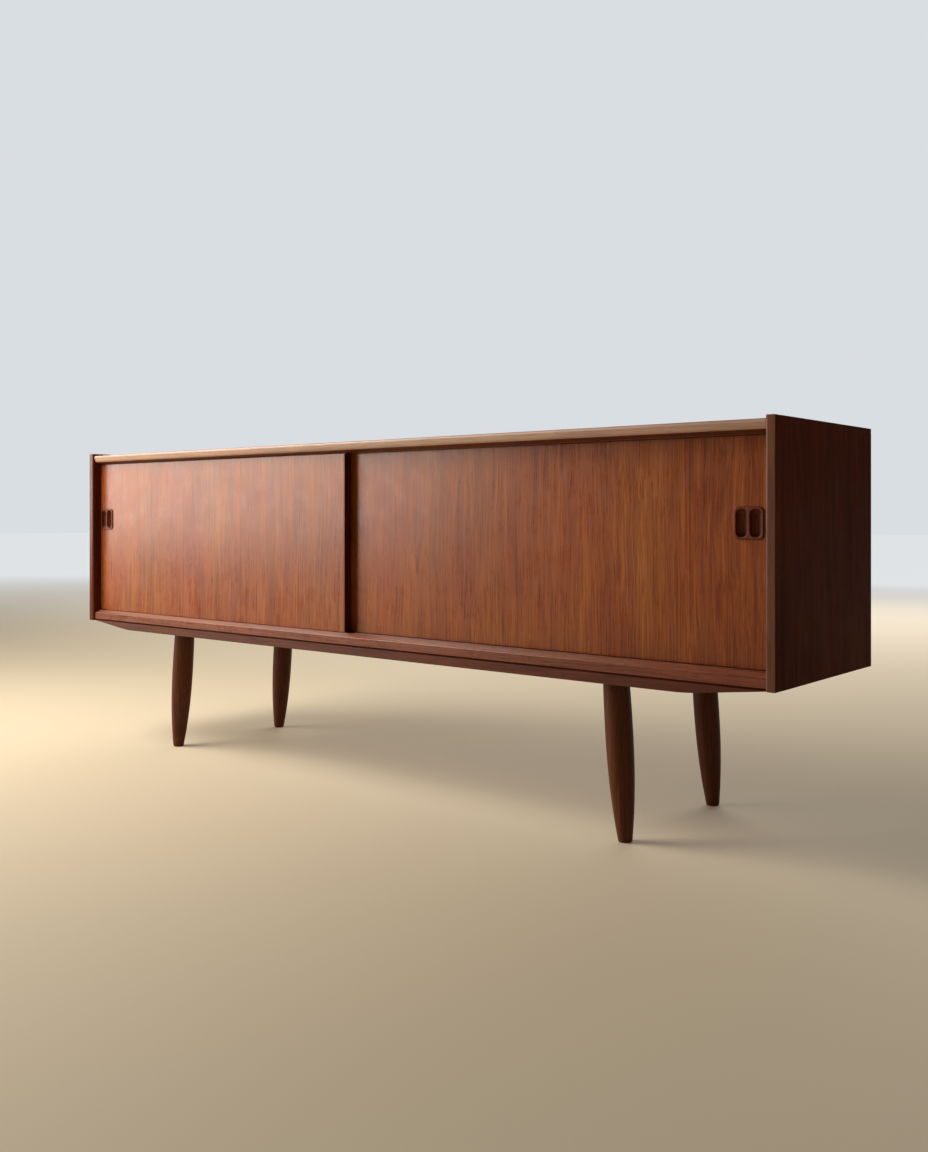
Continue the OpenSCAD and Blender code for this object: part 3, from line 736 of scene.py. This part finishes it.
def door(side, wood):
    """A veneered door with solid strips on its two upright edges and its pull let in."""
    low, high = corners(f"{side}_door_panel")
    edge_low, edge_high = corners(f"{side}_door_edges")
    panel = door_slab(f"{side}_door_slab", side, low.x, high.x)
    pull_mortise(panel, side)
    ease(panel, FINE_EASE, segments=2)
    fit(panel, wood, "door_veneer", f"{side}_door", f"{side}_door_panel")
    strips = [door_slab("edge", side, edge_low.x, low.x), door_slab("edge", side, high.x, edge_high.x)]
    edges = joined(f"{side}_door_edge_strips", strips)
    ease(edges, EDGE_EASE)
    fit(edges, UPRIGHT_TEAK, "solid_teak", f"{side}_door", f"{side}_door_edges")
    # The ends that face right take the dark case veneer: painted shade at the gap between the doors.
    veneer(edges, SIDE_VENEER_AND_GAP_SHADE_TEAK, (1, 0, 0))
    finger_pull(side)


# ---- Base ----

def frame_rail(node, name, front):
    """A flat rail whose ends taper up to the side panels, eased where the taper starts.

    The front one has a small arris, the lower half of the shadow groove under the sill, darkened as
    painted shade.
    """
    low, high = corners(node)
    rail = block(name, low, high)
    case_foot = corners("left_side_panel")[0].z
    rise = case_foot - low.z
    for sign in (-1, 1):
        tip = high.x if sign > 0 else low.x
        saw(rail, (tip, 0, case_foot), (sign * rise, 0, -TAPER_LENGTH))
    knee_x = high.x - TAPER_LENGTH

    def knee(a, b):
        level = max(a.z, b.z) - low.z < TOUCH
        return level and abs(abs(a.x) - knee_x) < KNEE_NEAR and abs(a.x - b.x) < TOUCH

    round_edges(rail, knee, KNEE_EASE, KNEE_STEPS)
    if front:
        saw(rail, (0, low.y, high.z - SHADOW_LINE), (0, -1, 1))
    ease(rail, FRAME_EASE)
    fit(rail, RAIL_AND_LIP_SHADE_TEAK, "solid_teak", "cabinet", node)
    if front:
        # The arris at the top of the shadow groove takes near-black teak: painted shade.
        veneer(rail, GROOVE_SHADE_TEAK, Vector((0, -1, 1)).normalized())


def leg_radius(height, length):
    """Radius of a leg: drawn in to the foot, fullest above the middle, a little less on top."""
    if height < BELLY_HEIGHT:
        drawn = (1 - height / BELLY_HEIGHT) ** FOOT_CURVE
        return BELLY_RADIUS - (BELLY_RADIUS - FOOT_RADIUS) * drawn
    rest = (height - BELLY_HEIGHT) / (length - BELLY_HEIGHT)
    return BELLY_RADIUS - (BELLY_RADIUS - LEG_TOP_RADIUS) * rest ** 2


def turned_blank(length):
    """A leg turned about +Z with its foot at the origin, a little long at both ends."""
    top = length + 2 * LEG_TOP_RADIUS * math.tan(SPLAY)
    foot = leg_radius(FOOT_ROUND, length)
    below = -2 * FOOT_RADIUS * math.tan(SPLAY)
    line = [(0.0, below), (foot - FOOT_ROUND, below)]
    for i in range(FOOT_STEPS + 1):
        turn = math.pi / 2 * i / FOOT_STEPS
        line.append((foot - FOOT_ROUND * (1 - math.sin(turn)), FOOT_ROUND * (1 - math.cos(turn))))
    for i in range(1, LEG_ROWS + 1):
        height = FOOT_ROUND + (top - FOOT_ROUND) * i / LEG_ROWS
        line.append((leg_radius(height, length), height))
    line.append((0.0, top))
    deselect()
    bpy.ops.mesh.primitive_plane_add(size=0.01)
    blank = bpy.context.object
    bpy.ops.object.mode_set(mode="EDIT")
    bpy.ops.mesh.select_mode(type="VERT")
    bpy.ops.mesh.select_all(action="SELECT")
    bpy.ops.mesh.merge(type="CENTER")
    bpy.ops.transform.translate(value=(line[0][0], 0, line[0][1]))
    for (r0, h0), (r1, h1) in zip(line, line[1:]):
        bpy.ops.mesh.extrude_region_move(TRANSFORM_OT_translate={"value": (r1 - r0, 0, h1 - h0)})
    bpy.ops.mesh.select_all(action="SELECT")
    bpy.ops.mesh.spin(steps=LEG_SIDES, angle=2 * math.pi, center=(0, 0, 0), axis=(0, 0, 1))
    bpy.ops.mesh.select_all(action="SELECT")
    bpy.ops.mesh.remove_doubles(threshold=WELD)
    bpy.ops.mesh.normals_make_consistent(inside=False)
    bpy.ops.object.mode_set(mode="OBJECT")
    return blank


def foot_place(row, side):
    """Where a leg's axis meets the floor."""
    for mount in frame["record"]["mounts"]:
        if mount["name"] == f"{row}_{side}_foot":
            return Vector(mount["pos_m"])
    raise KeyError(f"{row}_{side}_foot")


def legs():
    """Four turned legs, splayed outwards; the front pair also rakes forward."""
    top = corners("rear_right_leg")[1].z
    blank = turned_blank(top / math.cos(SPLAY))
    for row, rake in (("front", RAKE), ("rear", 0.0)):
        for side, sign in (("left", -1), ("right", 1)):
            leg = copy_of(blank, f"{row}_{side}_turned_leg")
            leg.rotation_euler = (-rake, -SPLAY * sign, 0)
            leg.location = foot_place(row, side)
            take(leg)
            bpy.ops.object.transform_apply(location=True, rotation=True, scale=True)
            saw(leg, (0, 0, top), (0, 0, 1))
            saw(leg, (0, 0, 0), (0, 0, -1))
            bpy.ops.object.shade_smooth_by_angle(angle=math.radians(LEG_SMOOTH_ANGLE))
            fit(leg, LEG_TEAK, "solid_teak", "cabinet", f"{row}_{side}_leg")
    bpy.data.objects.remove(blank, do_unlink=True)


def cross_rails():
    """Three rails across the base, between the front and rear rails."""
    front = corners("front_frame_rail")[1].y
    back = corners("rear_frame_rail")[0].y
    for place in ("left", "middle", "right"):
        low, high = corners(f"{place}_cross_rail")
        rail = block(f"{place}_cross_member", (low.x, front, low.z), (high.x, back, high.z))
        ease(rail, FRAME_EASE)
        fit(rail, CROSSWISE_TEAK, "solid_teak", "cabinet", f"{place}_cross_rail")


side_panels()
side_lippings()
top_and_bottom_boards()
top_rail()
bottom_rail()
plain_boards()
door("left", LEFT_DOOR_TEAK)
door("right", RIGHT_DOOR_TEAK)
frame_rail("front_frame_rail", "front_base_rail", True)
frame_rail("rear_frame_rail", "rear_base_rail", False)
cross_rails()
legs()

KEPT = (
    (BACK_PLY, ("left_back_panel", "right_back_panel")),
    (ZINC, ("back_screws", "frame_screws", "leg_bolts", "leg_inserts")),
    (BRASS, ("left_shelf_pins", "right_shelf_pins")),
    (BEECH, ("left_case_dowels", "right_case_dowels", "divider_dowels")),
    (FIBRE, ("front_slip_strip", "rear_slip_strip")),
    (NYLON, ("left_door_glides", "right_door_glides")),
)
for finish, nodes in KEPT:
    for node in nodes:
        keep(node, finish)


# ---- Studio: pale floor and wall, three soft lights, camera ----

FLOOR_SIZE = 60
FLOOR_COLOUR = (0.62, 0.53, 0.38, 1.0)
FLOOR_ROUGHNESS = 0.75
# The floor's own glow near the sideboard, and the wall that it fades into far away
FLOOR_GLOW = (0.66, 0.58, 0.44, 1.0)
FLOOR_GLOW_STRENGTH = 0.10
WALL_COLOUR = (0.92, 0.96, 1.0, 1.0)
WALL_STRENGTH = 0.76
# The fade is measured from a place in front of the sideboard, between these two distances
FADE_FROM = (0.0, -3.0, 0.0)
FADE_START, FADE_END = 4.2, 11.0
# Light that reaches the object from all round
ROOM_COLOUR = (1.0, 0.95, 0.88, 1.0)
ROOM_STRENGTH = 0.07


def soft_light(name, place, aim, width, height, power, colour):
    lamp = bpy.data.lights.new(name, "AREA")
    lamp.shape = "RECTANGLE"
    lamp.size = width
    lamp.size_y = height
    lamp.energy = power
    lamp.color = colour
    holder = bpy.data.objects.new(name, lamp)
    holder.location = place
    holder.rotation_euler = (Vector(aim) - Vector(place)).to_track_quat("-Z", "Y").to_euler()
    holder.visible_camera = False
    bpy.context.collection.objects.link(holder)


deselect()
bpy.ops.mesh.primitive_plane_add(size=FLOOR_SIZE)
floor = bpy.context.object
floor.name = "studio_floor"
pale = Finish("pale_floor")
pale.shader.inputs["Base Color"].default_value = FLOOR_COLOUR
pale.shader.inputs["Roughness"].default_value = FLOOR_ROUGHNESS
# Far from the sideboard, the floor fades into the studio wall
away = pale.node("ShaderNodeVectorMath", operation="DISTANCE")
pale.link(pale.place, away.inputs[0])
pale.link(FADE_FROM, away.inputs[1])
far = pale.spread(away.outputs["Value"], FADE_START, FADE_END)
pale.link(pale.blend(far, FLOOR_GLOW, WALL_COLOUR), pale.shader.inputs["Emission Color"])
strength = pale.spread(far, 0.0, 1.0, FLOOR_GLOW_STRENGTH, WALL_STRENGTH)
pale.link(strength, pale.shader.inputs["Emission Strength"])
floor.data.materials.append(pale.material)

soft_light("window_light", place=(-2.8, -2.05, 1.32), aim=(0.2, -0.2, 0.95), width=2.3, height=1.75,
           power=86, colour=(1.0, 0.92, 0.82))
soft_light("ceiling_light", place=(-1.4, -0.9, 1.90), aim=(-0.5, 0.0, 0.5), width=1.6, height=0.8,
           power=47, colour=(1.0, 0.93, 0.84))
soft_light("rear_light", place=(-1.5, 4.5, 2.8), aim=(-0.5, 1.5, 0.0), width=6.0, height=2.5,
           power=150, colour=(1.0, 0.95, 0.88))

# The pale wall round the object shines more weakly than it looks
sky = bpy.data.worlds.new("studio")
sky.use_nodes = True
bpy.context.scene.world = sky
glow = sky.node_tree.nodes["Background"]
glow.inputs["Color"].default_value = ROOM_COLOUR
glow.inputs["Strength"].default_value = ROOM_STRENGTH
wall = sky.node_tree.nodes.new("ShaderNodeBackground")
wall.inputs["Color"].default_value = WALL_COLOUR
wall.inputs["Strength"].default_value = WALL_STRENGTH
seen = sky.node_tree.nodes.new("ShaderNodeLightPath")
either = sky.node_tree.nodes.new("ShaderNodeMixShader")
sky.node_tree.links.new(seen.outputs["Is Camera Ray"], either.inputs[0])
sky.node_tree.links.new(glow.outputs[0], either.inputs[1])
sky.node_tree.links.new(wall.outputs[0], either.inputs[2])
sky.node_tree.links.new(either.outputs[0], sky.node_tree.nodes["World Output"].inputs["Surface"])

lens = bpy.data.cameras.new("camera")
lens.lens = 35.61
lens.sensor_width = 36
lens.shift_y = -0.0548
lens.clip_start = 0.05
viewer = bpy.data.objects.new("camera", lens)
viewer.location = (1.7973, -1.9691, 0.6084)
viewer.rotation_euler = (math.radians(90), 0, math.radians(39.719))
bpy.context.collection.objects.link(viewer)
bpy.context.scene.camera = viewer
bpy.context.scene.view_settings.view_transform = "Standard"
